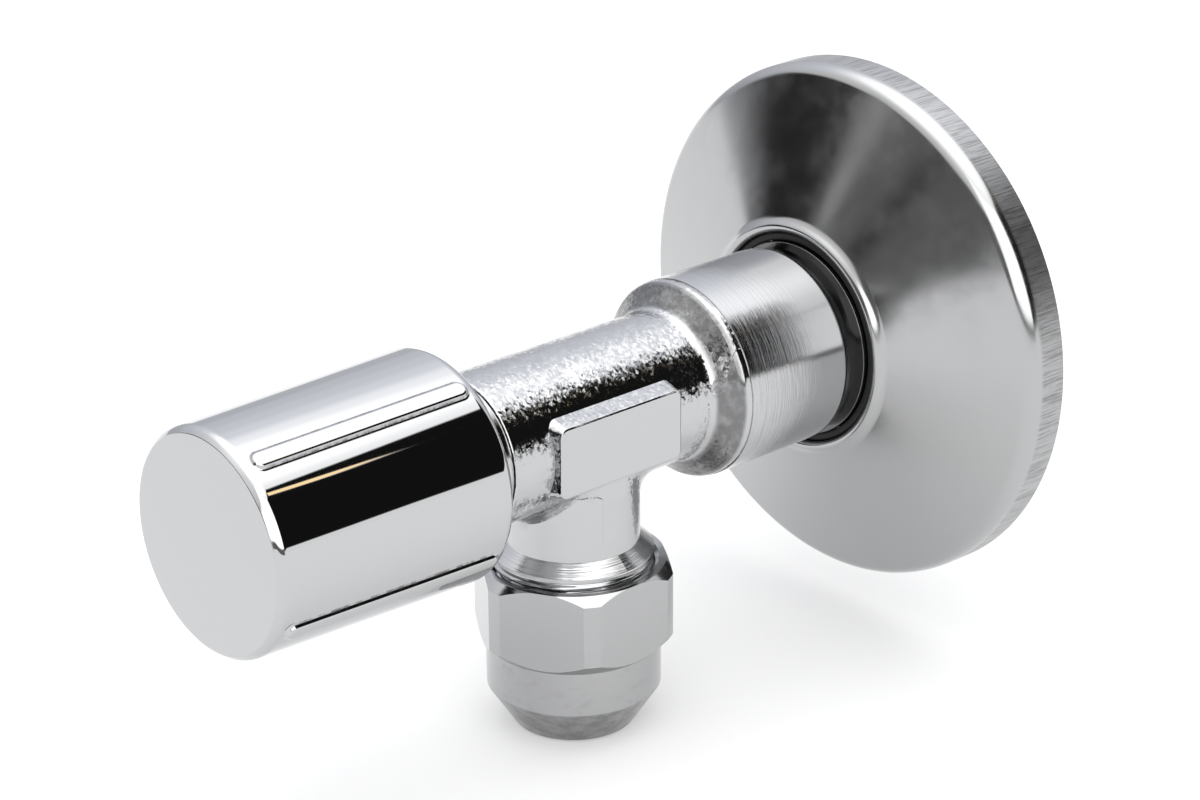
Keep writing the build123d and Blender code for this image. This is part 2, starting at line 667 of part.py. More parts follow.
def rib():
    """One raised rib: a round bar with ball ends, sunk into the handle's wall."""
    front_d = HANDLE_FRONT_D - RIB_FRONT - RIB_RADIUS
    rear_d = HANDLE_REAR_D + RIB_REAR + RIB_RADIUS
    sink = RIB_RADIUS - RIB_HEIGHT
    front = Vector(handle_radius(front_d) - sink, -front_d, 0)
    rear = Vector(handle_radius(rear_d) - sink, -rear_d, 0)
    line = rear - front
    bar = Plane(origin=front, z_dir=line) * Cylinder(RIB_RADIUS, line.length,
                                                     align=(Align.CENTER, Align.CENTER, Align.MIN))
    ends = Pos(*front) * Sphere(RIB_RADIUS) + Pos(*rear) * Sphere(RIB_RADIUS)
    return bar + ends


def handle_shell():
    """The cap with its cavity and hub, before the ribs and webs."""
    wall = HANDLE_WALL
    cavity_end_d = HANDLE_FRONT_D - HANDLE_FACE
    front_r = handle_radius(HANDLE_FRONT_D)
    rear_r = handle_radius(HANDLE_REAR_D)
    hub_r = HANDLE_HUB_DIAMETER / 2
    insert_r = INSERT_DIAMETER / 2
    return turned([
        (0, HANDLE_FRONT_D),
        (front_r, HANDLE_FRONT_D, HANDLE_FRONT_EDGE),
        (rear_r, HANDLE_REAR_D, HANDLE_REAR_EDGE),
        (rear_r - wall, HANDLE_REAR_D, 0.3),
        (front_r - wall, cavity_end_d, 0.8),
        (hub_r, cavity_end_d, 0.4),
        (hub_r, HUB_D, 0.3),
        (insert_r, HUB_D),
        (insert_r, HUB_D + INSERT_LENGTH),
        (0, HUB_D + INSERT_LENGTH),
    ])


def handle():
    shell = handle_shell()
    outer = fillet_ribs(shell)
    web_start_d = HUB_D + HANDLE_WEB_SETBACK
    web_end_d = HANDLE_FRONT_D - HANDLE_FACE + 0.2
    inner_r = HANDLE_HUB_DIAMETER / 2 - 0.3
    outer_r = handle_radius(web_end_d) - HANDLE_WALL + 0.3
    web = Pos((inner_r + outer_r) / 2, 0) * Rectangle(outer_r - inner_r, HANDLE_WEB_THICKNESS)
    webs = [Rot(0, 360 / HANDLE_WEBS * k, 0) * along(web, web_start_d, web_end_d)
            for k in range(HANDLE_WEBS)]
    return outer + webs


def fillet_ribs(shell):
    """The ribs fused to the shell, with a fillet at their roots."""
    ribs = [Rot(0, -(RIB_ANGLE + 360 / RIBS * k), 0) * rib() for k in range(RIBS)]
    cavity = turned([(0, HANDLE_REAR_D - 1), (handle_radius(HANDLE_REAR_D) - HANDLE_WALL / 2,
                                              HANDLE_REAR_D - 1),
                     (handle_radius(HANDLE_FRONT_D) - HANDLE_WALL / 2, HANDLE_FRONT_D),
                     (0, HANDLE_FRONT_D)])
    ribs = [r - cavity for r in ribs]
    known = [e.center() for e in shell.edges()]
    fused = shell + ribs
    middle_d = (HANDLE_FRONT_D + HANDLE_REAR_D) / 2
    limit = (HANDLE_FRONT_D - HANDLE_REAR_D) / 2 - RIB_REAR + 0.5
    roots = [e for e in fused.edges()
             if abs(-e.center().Y - middle_d) < limit
             and all((e.center() - c).length > 0.01 for c in known)
             and on_handle_surface(e)]
    return fillet(roots, RIB_FILLET)


def on_handle_surface(edge):
    """True where the edge's middle lies on the handle's outer cone."""
    point = edge @ 0.5
    return abs(hypot(point.X, point.Z) - handle_radius(-point.Y)) < 0.01


def handle_insert():
    """Plastic bush pressed into the handle's hub, with the spline's counterpart inside."""
    outer_r = INSERT_DIAMETER / 2 - RUNNING_FIT / 2
    blank = ring(0, outer_r, HUB_D, HUB_D + INSERT_LENGTH, 0.2)
    hole = spline(SPLINE_DIAMETER / 2 + RUNNING_FIT, SPLINE_ROOT_DIAMETER / 2 + RUNNING_FIT)
    return blank - along(hole, HUB_D - 1, SPINDLE_END_D + 0.3)


def compression_nut():
    """Hexagon with turned corners, collar and cone; thread, ring seat and pipe hole inside."""
    corner_r = NUT_CORNERS / 2
    face_r = NUT_TOP_FACE_DIAMETER / 2
    bottom_r = NUT_BOTTOM_DIAMETER / 2
    collar_r = NUT_COLLAR_DIAMETER / 2
    end_r = NUT_END_DIAMETER / 2
    top_chamfer = (corner_r - face_r) / tan(radians(NUT_TOP_CHAMFER))
    envelope = turned_down([
        (0, NUT_TOP_H),
        (face_r, NUT_TOP_H),
        (corner_r, NUT_TOP_H + top_chamfer),
        (corner_r, NUT_HEX_END_H - (corner_r - bottom_r)),
        (bottom_r, NUT_HEX_END_H),
        (0, NUT_HEX_END_H),
    ])
    hex_part = downward(hexagon(NUT_FLATS, NUT_TURN), NUT_TOP_H, NUT_HEX_END_H) & envelope
    collar = turned_down([
        (0, NUT_HEX_END_H - 0.5),
        (collar_r, NUT_HEX_END_H - 0.5),
        (collar_r, NUT_CONE_H),
        (end_r, NUT_END_H, NUT_EDGE),
        (0, NUT_END_H),
    ])
    seat_r = NUT_SEAT_DIAMETER / 2
    bore = turned_down([
        (0, NUT_TOP_H - 1),
        (NUT_BORE_R + NUT_MOUTH_CHAMFER, NUT_TOP_H - 1),
        (NUT_BORE_R + NUT_MOUTH_CHAMFER, NUT_TOP_H),
        (NUT_BORE_R, NUT_TOP_H + NUT_MOUTH_CHAMFER),
        (NUT_BORE_R, NUT_BORE_END_H),
        (seat_r, NUT_BORE_END_H),
        (seat_r, NUT_SEAT_H),
        (PIPE_R, NUT_SEAT_H + seat_r - PIPE_R),
        (PIPE_R, NUT_END_H - NUT_MOUTH_CHAMFER),
        (PIPE_R + NUT_MOUTH_CHAMFER, NUT_END_H),
        (PIPE_R + NUT_MOUTH_CHAMFER, NUT_END_H + 1),
        (0, NUT_END_H + 1),
    ])
    return hex_part + collar - bore


def compression_ring():
    """The olive: a cone that fits the branch's mouth, a land, and a cone that fits the nut."""
    outer_r = RING_DIAMETER / 2
    slope = tan(radians(CONE_HALF_ANGLE))
    mouth_r = CONE_MOUTH_DIAMETER / 2 - RING_CONE_GAP
    front_r = mouth_r - (OUTLET_END_H - RING_FRONT_H) * slope
    land_h = OUTLET_END_H - (mouth_r - outer_r) / slope
    rear_h = land_h + RING_LAND
    return turned_down([
        (PIPE_R, RING_FRONT_H),
        (front_r, RING_FRONT_H),
        (outer_r, land_h),
        (outer_r, rear_h),
        (outer_r - RING_REAR_CONE, rear_h + RING_REAR_CONE),
        (PIPE_R, rear_h + RING_REAR_CONE),
    ])


PARTS = {
    "valve_body": valve_body,
    "wall_rosette": wall_rosette,
    "rosette_grip_ring": rosette_grip_ring,
    "bonnet": bonnet,
    "bonnet_seal_ring": bonnet_seal_ring,
    "thrust_washer": thrust_washer,
    "retaining_ring": retaining_ring,
    "spindle": spindle,
    "spindle_o_ring_inner": lambda: spindle_o_ring(inner_groove_d()),
    "spindle_o_ring_outer": lambda: spindle_o_ring(inner_groove_d() + O_RING_PITCH),
    "plunger": plunger,
    "plunger_o_ring": plunger_o_ring,
    "valve_washer": valve_washer,
    "washer_screw": washer_screw,
    "handle": handle,
    "handle_insert": handle_insert,
    "compression_nut": compression_nut,
    "compression_ring": compression_ring,
}

os.makedirs("parts", exist_ok=True)
for name, make in PARTS.items():
    solid = make()
    export_step(solid, f"parts/{name}.step")
    print(name, round(solid.volume, 1))
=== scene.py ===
"""Looks of the angle valve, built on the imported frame.

Metres, in the frame's own axes: the inlet axis is Y with the wall at y = 0, the handle looks
towards -Y, the outlet points down. Lengths that are named here in millimetres are turned into
metres by MM. d is a distance from the wall plane towards the handle, so y = -d.
"""
import json
from math import cos, hypot, pi, radians, sin, tan

import bmesh
import bpy
from mathutils import Matrix, Vector


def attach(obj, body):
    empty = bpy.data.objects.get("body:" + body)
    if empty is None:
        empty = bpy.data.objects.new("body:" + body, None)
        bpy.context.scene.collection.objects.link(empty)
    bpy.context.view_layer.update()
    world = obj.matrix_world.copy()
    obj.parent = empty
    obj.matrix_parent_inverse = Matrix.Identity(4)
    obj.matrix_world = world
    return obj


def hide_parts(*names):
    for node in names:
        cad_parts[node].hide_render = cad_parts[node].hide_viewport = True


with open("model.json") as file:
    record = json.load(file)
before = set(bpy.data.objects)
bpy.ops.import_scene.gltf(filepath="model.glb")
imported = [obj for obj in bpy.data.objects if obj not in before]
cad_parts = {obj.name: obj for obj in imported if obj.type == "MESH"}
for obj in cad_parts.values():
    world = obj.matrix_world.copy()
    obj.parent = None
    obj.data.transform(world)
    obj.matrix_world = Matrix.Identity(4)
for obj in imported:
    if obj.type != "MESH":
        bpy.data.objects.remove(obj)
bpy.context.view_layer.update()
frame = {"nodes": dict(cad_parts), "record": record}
scene = bpy.context.scene

MM = 0.001

# Camera, found from the circles and edges in the photograph
CAMERA_PLACE = Vector((239.05, -249.64, 136.12)) * MM
CAMERA_AZIMUTH = 48.487
CAMERA_ELEVATION = 22.987
CAMERA_ROLL = -0.3735
CAMERA_LENS = 103.303
SENSOR_WIDTH = 36.0

# Surroundings
FLOOR_Z = -33.6 * MM
FLOOR_SIZE = 6.0
FLOOR_WHITE = 0.54
FLOOR_GLOW = 0.36

# Colours of the metal, of what lies on it, and of painted shade
CHROME = (0.50, 0.503, 0.509)
DULL_CHROME = (0.43, 0.432, 0.436)
SHOULDER_COAT = (0.16, 0.16, 0.162)
# painted shade: near-black laid over the neck's groove and land behind the rosette's lip
PAINTED_GROOVE_SHADE = (0.05, 0.05, 0.05)
# painted shade: dark lines along the concave roots of the handle's ribs
ROOT_SHADE = (0.09, 0.09, 0.09)
DARK_STROKES = (0.22, 0.22, 0.222)
STAIN = (0.20, 0.202, 0.205)

# Relief of the forged and turned skin
CRYSTALS_PER_MM = (3.0, 3.6, 3.0)
CRYSTAL_TILT = 0.15
BRANCH_CRYSTALS = 0.35      # how much of them the branch has
GRAIN_HEIGHT = 0.011 * MM
FINE_HEIGHT = 0.014 * MM
WAVE_HEIGHT = 0.07 * MM
NECK_LINE_HEIGHTS = (0.003 * MM, 0.018 * MM)    # at the rosette, and at the shoulder
OUTLET_LINE_HEIGHT = 0.07 * MM

# Zones of the valve body, as distances d or heights h in millimetres
BRANCH_D = 41.9
NECK_FRONT_D = 26.7
BARREL_END_D = 55.9
BRANCH_SKIN_H = 12.95
BOSS_FACE_X = 8.7
BRANCH_R = 7.2
BRANCH_TOP_H = 7.5
SHOULDER_RIM_D = 27.5
SHOULDER_END_D = 29.5
GROOVE_DARK_D = 12.6
ZONE_EDGE = 0.05

# Neck and inlet thread, G 1/2
THREAD_R = 10.4775
INLET_THREAD_START_D = -5.0
INLET_THREAD_END_D = 7.6
INLET_PITCH = 1.814
INLET_THREAD_DEPTH = 1.1
RELIEF_R = 9.2775
LAND_REAR_D = 9.0
LAND_FRONT_D = 10.85
GROOVE_R = 9.5775
GROOVE_FRONT_D = 11.25
NECK_FULL_D = 13.45
NECK_ROUND = 1.5

# Outlet thread, G 3/8
OUTLET_R = 8.33
OUTLET_PITCH = 1.337
OUTLET_THREAD_DEPTH = 0.82
OUTLET_CREST_H = 14.2
OUTLET_THREAD_START_H = 14.62
OUTLET_THREAD_END_H = 24.3
THREAD_FADE = 0.3
THREAD_COLUMNS = 144
THREAD_STEPS = 14           # rows in each pitch
THREAD_SHAPE = 1.2          # above 1 the crests are wider than the roots

# Wall rosette
ROSETTE_R = 28.2
ROSETTE_SKIRT = 4.38
SHOULDER_ROUND = 1.9
CREASE_R = 12.9
CREASE_D = 10.25
CREASE_ROUND = 2.0
HOLE_R = 11.4
LIP_APEX_D = 11.75
LIP_ROUND = 0.6
COLLAR_END_D = 9.4
SHEET = 0.6
ROSETTE_COLUMNS = 320
SKIRT_RADII = (27.7, 28.05)     # the brushed finish begins over this span
SKIRT_DISTANCES = (3.4, 2.8)

# Compression nut, as heights below the inlet axis
NUT_COLLAR_H = 24.2
NUT_CONE_H = 29.0

# Grip ring behind the rosette's lip
GRIP_INNER_R = 10.5275
GRIP_OUTER_R = 11.35
GRIP_FRONT_D = 10.4
GRIP_FLANGE_R = 12.1
GRIP_FLANGE_D = 9.35
GRIP_REAR_D = 8.65
GRIP_EDGE = 0.25
GRIP_COLUMNS = 128

# Handle
HANDLE_FACE_D = 86.6
HANDLE_REAR_D = 59.0
HANDLE_FACE_R = 11.4
HANDLE_REAR_R = 11.95
HANDLE_SKIN = 1.25          # the new skin ends this far inside the outer surface
HANDLE_SOLID_D = 84.5       # nothing but skin lies in front of this
BEVEL_DEPTH = 0.6
BEVEL_LENGTH = 0.65
BEVEL_ROUND = 1.2
FACE_EDGE = 0.2
REAR_EDGE = 1.25
SATIN_FROM_D = 86.4         # the face's satin look begins here
SATIN_FULL_D = 86.55
RIBS = 4
RIB_TURN = 2 * pi / RIBS
RIB_ANGLE = 59.0            # degrees, from +X towards +Z
RIB_HALF_WIDTH = 0.76       # at the top, before its edges are rounded
RIB_HEIGHT = 0.45
RIB_DRAFT = 30.0
RIB_ROOT = RIB_HALF_WIDTH + RIB_HEIGHT * tan(radians(RIB_DRAFT))
RIB_FRONT_D = 85.05
RIB_REAR_D = 60.65
RIB_ROUND = 0.35
RIB_ZONE = 1.4              # finely divided strip on each side of a rib's middle
RIB_GRID = 0.055
STRAIGHT_GRID = 0.8
COLUMNS_BETWEEN_RIBS = 30


class Graph:
    """Short calls that add nodes to one node tree."""

    def __init__(self, tree):
        self.tree = tree
        tree.nodes.clear()

    def node(self, kind, inputs=None, **settings):
        made = self.tree.nodes.new(kind)
        for name, value in settings.items():
            setattr(made, name, value)
        for name, value in (inputs or {}).items():
            self.set(made.inputs[name], value)
        return made

    def set(self, socket, value):
        if isinstance(value, bpy.types.NodeSocket):
            self.tree.links.new(value, socket)
        elif value is not None:
            socket.default_value = value

    def math(self, operation, a, b=None):
        made = self.node("ShaderNodeMath", operation=operation)
        self.set(made.inputs[0], a)
        self.set(made.inputs[1], b)
        return made.outputs[0]

    def add(self, a, b):
        return self.math("ADD", a, b)

    def sub(self, a, b):
        return self.math("SUBTRACT", a, b)

    def mul(self, a, b):
        return self.math("MULTIPLY", a, b)

    def most(self, a, b):
        return self.math("MAXIMUM", a, b)

    def vector(self, operation, a, b=None):
        made = self.node("ShaderNodeVectorMath", operation=operation)
        self.set(made.inputs[0], a)
        self.set(made.inputs[1], b)
        return made.outputs[0]

    def step(self, value, low, high, start=0.0, end=1.0):
        """A smooth step from start at low to end at high."""
        made = self.node("ShaderNodeMapRange", {
            "Value": value, "From Min": low, "From Max": high, "To Min": start, "To Max": end,
        }, interpolation_type="SMOOTHSTEP")
        return made.outputs["Result"]

    def band(self, value, low, high, edge):
        """1 between low and high, 0 outside, with soft edges."""
        return self.mul(self.step(value, low - edge, low + edge),
                        self.step(value, high - edge, high + edge, 1.0, 0.0))

    def mix(self, factor, a, b):
        made = self.node("ShaderNodeMix", {0: factor, 2: a, 3: b}, data_type="FLOAT")
        return made.outputs[0]

    def mix_colour(self, factor, a, b):
        made = self.node("ShaderNodeMix", {0: factor, 6: opaque(a), 7: opaque(b)},
                         data_type="RGBA")
        return made.outputs[2]

    def ramp(self, degrees, stops, brightest):
        """A value that goes through the stops, which are pairs of a height and a brightness."""
        made = self.node("ShaderNodeValToRGB")
        made.color_ramp.interpolation = "EASE"
        points = made.color_ramp.elements
        for _ in stops[2:]:
            points.new(0.5)
        for point, (at, light) in zip(points, stops):
            point.position = at / 90
        for point, (at, light) in zip(points, stops):
            point.color = (light / brightest,) * 3 + (1.0,)
        self.set(made.inputs["Fac"], self.mul(degrees, 1 / 90))
        return self.mul(made.outputs["Color"], brightest)

    def place(self):
        """The point in the object's own metres, and its three parts."""
        point = self.node("ShaderNodeTexCoord").outputs["Object"]
        parts = self.node("ShaderNodeSeparateXYZ", {"Vector": point})
        return point, parts.outputs["X"], parts.outputs["Y"], parts.outputs["Z"]

    def stretched(self, point, per_mm):
        """The point in counts per millimetre along X, Y and Z."""
        return self.vector("MULTIPLY", point, [count / MM for count in per_mm])

    def noise(self, point, per_mm, detail=2.0, roughness=0.5):
        made = self.node("ShaderNodeTexNoise", {
            "Vector": self.stretched(point, per_mm), "Scale": 1.0, "Detail": detail,
            "Roughness": roughness, "Distortion": 0.0})
        return made.outputs["Fac"]

    def cells(self, point, per_mm):
        """Soft cells, as the distance from their middles."""
        made = self.node("ShaderNodeTexVoronoi", {
            "Vector": self.stretched(point, per_mm), "Scale": 1.0}, feature="SMOOTH_F1")
        return made.outputs["Distance"]

    def facets(self, vector, tilt):
        """The surface's normal, tilted by another small amount in each crystal."""
        cell = self.node("ShaderNodeTexVoronoi", {"Vector": vector, "Scale": 1.0}).outputs["Color"]
        centred = self.vector("SUBTRACT", cell, (0.5, 0.5, 0.5))
        size = self.node("ShaderNodeCombineXYZ", {"X": tilt, "Y": tilt, "Z": tilt}).outputs[0]
        normal = self.node("ShaderNodeNewGeometry").outputs["Normal"]
        total = self.vector("ADD", normal, self.vector("MULTIPLY", centred, size))
        return self.vector("NORMALIZE", total)

    def radius(self, a, b):
        return self.math("SQRT", self.add(self.mul(a, a), self.mul(b, b)))

    def bump(self, height, normal=None):
        """A normal from a height in metres."""
        made = self.node("ShaderNodeBump", {"Strength": 1.0, "Distance": 1.0, "Height": height,
                                            "Normal": normal})
        return made.outputs["Normal"]

    def surface(self, colour, roughness, normal, metallic=1.0):
        shader = self.node("ShaderNodeBsdfPrincipled", {
            "Base Color": opaque(colour), "Metallic": metallic, "Roughness": roughness,
            "Normal": normal})
        return shader.outputs["BSDF"]


def opaque(colour):
    """A colour of three numbers with its alpha; a socket stays as it is."""
    return (*colour, 1.0) if isinstance(colour, tuple) else colour


def material(name, build):
    """A node material whose surface comes from build(graph)."""
    made = bpy.data.materials.new(name)
    made.use_nodes = True
    graph = Graph(made.node_tree)
    surface = build(graph)
    graph.node("ShaderNodeOutputMaterial", {"Surface": surface})
    return made


def body_chrome(graph):
    """Crystalline forged skin, with a turned neck, rim and threaded end."""
    point, x, y, z = graph.place()
    d = graph.mul(y, -1 / MM)
    h = graph.mul(z, -1 / MM)
    from_branch = graph.radius(x, graph.add(y, BRANCH_D * MM))

    # Zones
    neck = graph.step(d, NECK_FRONT_D + ZONE_EDGE, NECK_FRONT_D - ZONE_EDGE)
    rim = graph.step(d, BARREL_END_D - ZONE_EDGE, BARREL_END_D + ZONE_EDGE)
    low = graph.step(h, BRANCH_SKIN_H - ZONE_EDGE, BRANCH_SKIN_H + ZONE_EDGE)
    face = graph.step(x, (BOSS_FACE_X - 0.12) * MM, (BOSS_FACE_X - 0.02) * MM)
    shoulder = graph.band(d, SHOULDER_RIM_D, SHOULDER_END_D, 0.25)
    # Painted shade over the neck's groove and land behind the rosette's lip
    groove = graph.band(d, INLET_THREAD_END_D, GROOVE_DARK_D, 0.3)
    turned = graph.most(neck, rim)
    forged = graph.sub(1.0, graph.most(graph.most(turned, low), graph.mul(face, 0.85)))
    branch = graph.mul(graph.step(from_branch, (BRANCH_R + 0.6) * MM, (BRANCH_R + 0.1) * MM),
                       graph.step(h, BRANCH_TOP_H - 1.0, BRANCH_TOP_H + 0.5))
    crystalline = graph.mul(forged, graph.mix(branch, 1.0, BRANCH_CRYSTALS))

    # Crystals of the forging, over slow waves
    bent = graph.noise(point, (1.6, 1.6, 1.6))
    places = graph.vector("ADD", graph.stretched(point, CRYSTALS_PER_MM), bent)
    facets = graph.facets(places, graph.mul(crystalline, CRYSTAL_TILT))
    grain = graph.mul(graph.cells(point, (2.4, 3.0, 2.4)), GRAIN_HEIGHT)
    fine = graph.mul(graph.noise(point, (5.0, 6.0, 5.0), 3.0, 0.65), FINE_HEIGHT)
    wave = graph.mul(graph.noise(point, (0.32, 0.32, 0.32), 1.0), WAVE_HEIGHT)
    skin = graph.mul(crystalline, graph.add(graph.add(grain, fine), wave))

    # Fine circles left by the lathe
    round_y = graph.noise(point, (0.08, 9.0, 0.08), 3.0, 0.6)
    round_z = graph.noise(point, (0.05, 0.05, 4.2), 3.0, 0.65)
    depth = graph.mix(graph.step(d, 14.0, 24.0), *NECK_LINE_HEIGHTS)
    lathe = graph.add(graph.mul(graph.mul(turned, round_y), depth),
                      graph.mul(graph.mul(low, round_z), OUTLET_LINE_HEIGHT))
    normal = graph.bump(graph.add(skin, lathe), facets)

    smears = graph.noise(point, (0.5, 0.9, 0.5), 3.0, 0.6)
    roughness = graph.mix(forged, graph.mix(neck, 0.10, 0.13), 0.09)
    roughness = graph.mix(branch, roughness, 0.17)
    roughness = graph.mix(shoulder, roughness, graph.step(smears, 0.35, 0.65, 0.14, 0.22))
    roughness = graph.mix(low, roughness, 0.16)
    dull = graph.mul(shoulder, graph.step(smears, 0.3, 0.6, 0.6, 0.9))
    colour = graph.mix_colour(dull, CHROME, SHOULDER_COAT)
    # lays the painted shade over that band of the neck
    colour = graph.mix_colour(graph.mul(groove, 0.8), colour, PAINTED_GROOVE_SHADE)
    return graph.surface(colour, roughness, normal)


def handle_chrome(graph):
    """Smooth plated handle: a satin look on its face, and painted shade along the ribs' roots,
    which are also rougher there.
    """
    point, x, y, z = graph.place()
    wave = graph.noise(point, (0.12, 0.05, 0.12), 1.0)
    face = graph.step(y, -SATIN_FROM_D * MM, -SATIN_FULL_D * MM)
    turn = graph.sub(graph.math("ARCTAN2", z, x), radians(RIB_ANGLE) - pi / RIBS)
    off = graph.sub(graph.math("FLOORED_MODULO", turn, RIB_TURN), RIB_TURN / 2)
    away = graph.math("ABSOLUTE", graph.mul(graph.mul(off, graph.radius(x, z)), 1 / MM))
    # Painted shade: dark, patchy lines along the concave roots of the ribs
    line = graph.mul(graph.band(away, RIB_ROOT - 0.12, RIB_ROOT + 0.14, 0.1),
                     graph.band(y, -(RIB_FRONT_D - 0.6) * MM, -(RIB_REAR_D + 0.6) * MM, 0.3 * MM))
    patchy = graph.noise(point, (0.5, 1.3, 0.5), 3.0, 0.7)
    root_shade = graph.mul(line, graph.step(patchy, 0.38, 0.62, 0.25, 1.0))
    colour = graph.mix_colour(graph.mul(root_shade, 0.8), CHROME, ROOT_SHADE)
    roughness = graph.mix(root_shade, graph.mix(face, 0.03, 0.16), 0.3)
    return graph.surface(colour, roughness, graph.bump(graph.mul(wave, 0.02 * MM)))


def rosette_chrome(graph):
    """Softly polished cone with smears, and a skirt brushed along the axis."""
    point, x, y, z = graph.place()
    skirt = graph.mul(graph.step(graph.radius(x, z), *(r * MM for r in SKIRT_RADII)),
                      graph.step(y, *(-d * MM for d in SKIRT_DISTANCES)))
    brushing = graph.noise(point, (9.0, 0.25, 9.0), 3.0, 0.75)
    streaks = graph.noise(point, (4.2, 0.15, 4.2), 3.0, 0.7)
    wave = graph.noise(point, (0.10, 0.10, 0.10), 1.0)
    smears = graph.noise(point, (0.22, 0.22, 0.22), 4.0, 0.6)
    strokes = graph.add(graph.mul(brushing, 0.012 * MM), graph.mul(streaks, 0.014 * MM))
    height = graph.add(graph.mul(skirt, strokes), graph.mul(wave, 0.04 * MM))
    dark = graph.mul(skirt, graph.step(graph.add(brushing, streaks), 0.9, 1.25))
    colour = graph.mix_colour(dark, DULL_CHROME, DARK_STROKES)
    cone = graph.step(smears, 0.35, 0.7, 0.13, 0.2)
    return graph.surface(colour, graph.mix(skirt, cone, 0.36), graph.bump(height))


def nut_chrome(graph):
    """Turned and milled nut: fine lines across its flats, stained near its cone."""
    point, x, y, z = graph.place()
    h = graph.mul(z, -1 / MM)
    cone = graph.step(h, NUT_CONE_H, NUT_CONE_H + 0.25)
    collar = graph.step(h, NUT_COLLAR_H, NUT_COLLAR_H + 0.3)
    lines = graph.noise(point, (0.15, 0.15, 7.0), 3.0, 0.6)
    stains = graph.noise(point, (0.5, 0.5, 0.9), 4.0, 0.65)
    dull = graph.mix(cone, graph.mul(collar, graph.step(stains, 0.5, 0.8, 0.04, 0.3)),
                     graph.step(stains, 0.35, 0.7, 0.5, 1.0))
    colour = graph.mix_colour(dull, DULL_CHROME, STAIN)
    roughness = graph.mix(cone, graph.mix(collar, 0.12, 0.2), 0.24)
    return graph.surface(colour, roughness, graph.bump(graph.mul(lines, 0.005 * MM)))


def fibre(graph):
    point = graph.place()[0]
    grain = graph.noise(point, (4.0, 4.0, 4.0), 3.0)
    colour = graph.mix_colour(grain, (0.20, 0.05, 0.04), (0.34, 0.10, 0.07))
    return graph.surface(colour, 0.7, graph.bump(graph.mul(grain, 0.01 * MM)), 0.0)


def grained(colour, roughness, per_mm, height, metallic=0.0, detail=2.0, spread=0.5):
    """A finish of one colour, with fine grain of that height in millimetres."""
    def build(graph):
        point = graph.place()[0]
        grain = graph.noise(point, per_mm, detail, spread)
        normal = graph.bump(graph.mul(grain, height * MM))
        return graph.surface(colour, roughness, normal, metallic)
    return build


FINISHES = {
    "body_chrome": body_chrome,
    "handle_chrome": handle_chrome,
    "rosette_chrome": rosette_chrome,
    "nut_chrome": nut_chrome,
    "brass": grained((0.78, 0.60, 0.30), 0.24, (0.05, 8.0, 0.05), 0.004, 1.0, 3.0, 0.6),
    "steel": grained((0.56, 0.56, 0.57), 0.28, (6.0, 6.0, 6.0), 0.003, 1.0),
    "rubber": grained((0.018, 0.018, 0.019), 0.55, (5.0, 5.0, 5.0), 0.004),
    "fibre": fibre,
    "white_plastic": grained((0.78, 0.78, 0.75), 0.42, (3.0, 3.0, 3.0), 0.002),
    "black_plastic": grained((0.008, 0.008, 0.009), 0.65, (3.0, 3.0, 3.0), 0.002),
}


def dress_nodes():
    """Gives each CAD node the finish of its material slot."""
    finishes = {slot: material(slot, build) for slot, build in FINISHES.items()}
    for part in frame["record"]["subparts"]:
        mesh = frame["nodes"][part["node"]].data
        mesh.materials.clear()
        mesh.materials.append(finishes[part["material_slot"]])
    return finishes


KEPT = "kept_normal"


def rounded(corners, steps=7):
    """Points along an outline; a corner is (a, b) or, with a round, (a, b, radius)."""
    points = []
    for i, corner in enumerate(corners):
        here = Vector(corner[:2])
        if len(corner) < 3:
            points.append(here)
            continue
        back = (Vector(corners[i - 1][:2]) - here).normalized()
        ahead = (Vector(corners[i + 1][:2]) - here).normalized()
        half = back.angle(ahead) / 2
        centre = here + (back + ahead).normalized() * corner[2] / sin(half)
        first = here + back * corner[2] / tan(half) - centre
        last = here + ahead * corner[2] / tan(half) - centre
        turn = first.angle_signed(last)
        for k in range(steps + 1):
            points.append(centre + Matrix.Rotation(-turn * k / steps, 2) @ first)
    return points


def inside(line, step):
    """The line drawn again at a distance, on its inner side."""
    made = []
    for i, point in enumerate(line):
        run = line[min(i + 1, len(line) - 1)] - line[max(i - 1, 0)]
        made.append(point + Vector((run.y, -run.x)).normalized() * -step)
    return made


def round_inlet(radius, angle, along):
    """A point round the inlet axis; the angle goes from +X to +Z."""
    return Vector((radius * cos(angle), -along, radius * sin(angle))) * MM


def round_outlet(radius, angle, along):
    """A point round the outlet axis; the angle goes from +Y to +X."""
    return Vector((radius * sin(angle), radius * cos(angle) - BRANCH_D, -along)) * MM


def sleeve(made, place, angles, rows, closed=False):
    """Adds rows of points round an axis to a bmesh; rows gives (radius, along) for an angle."""
    grid = [[made.verts.new(place(radius, angle, along)) for radius, along in rows(angle)]
            for angle in angles]
    count = len(grid[0])
    for i, column in enumerate(grid):
        following = grid[(i + 1) % len(grid)]
        for j in range(count if closed else count - 1):
            k = (j + 1) % count
            made.faces.new((column[j], following[j], following[k], column[k]))


def all_round(count):
    """That many angles in one turn."""
    return [2 * pi * k / count for k in range(count)]


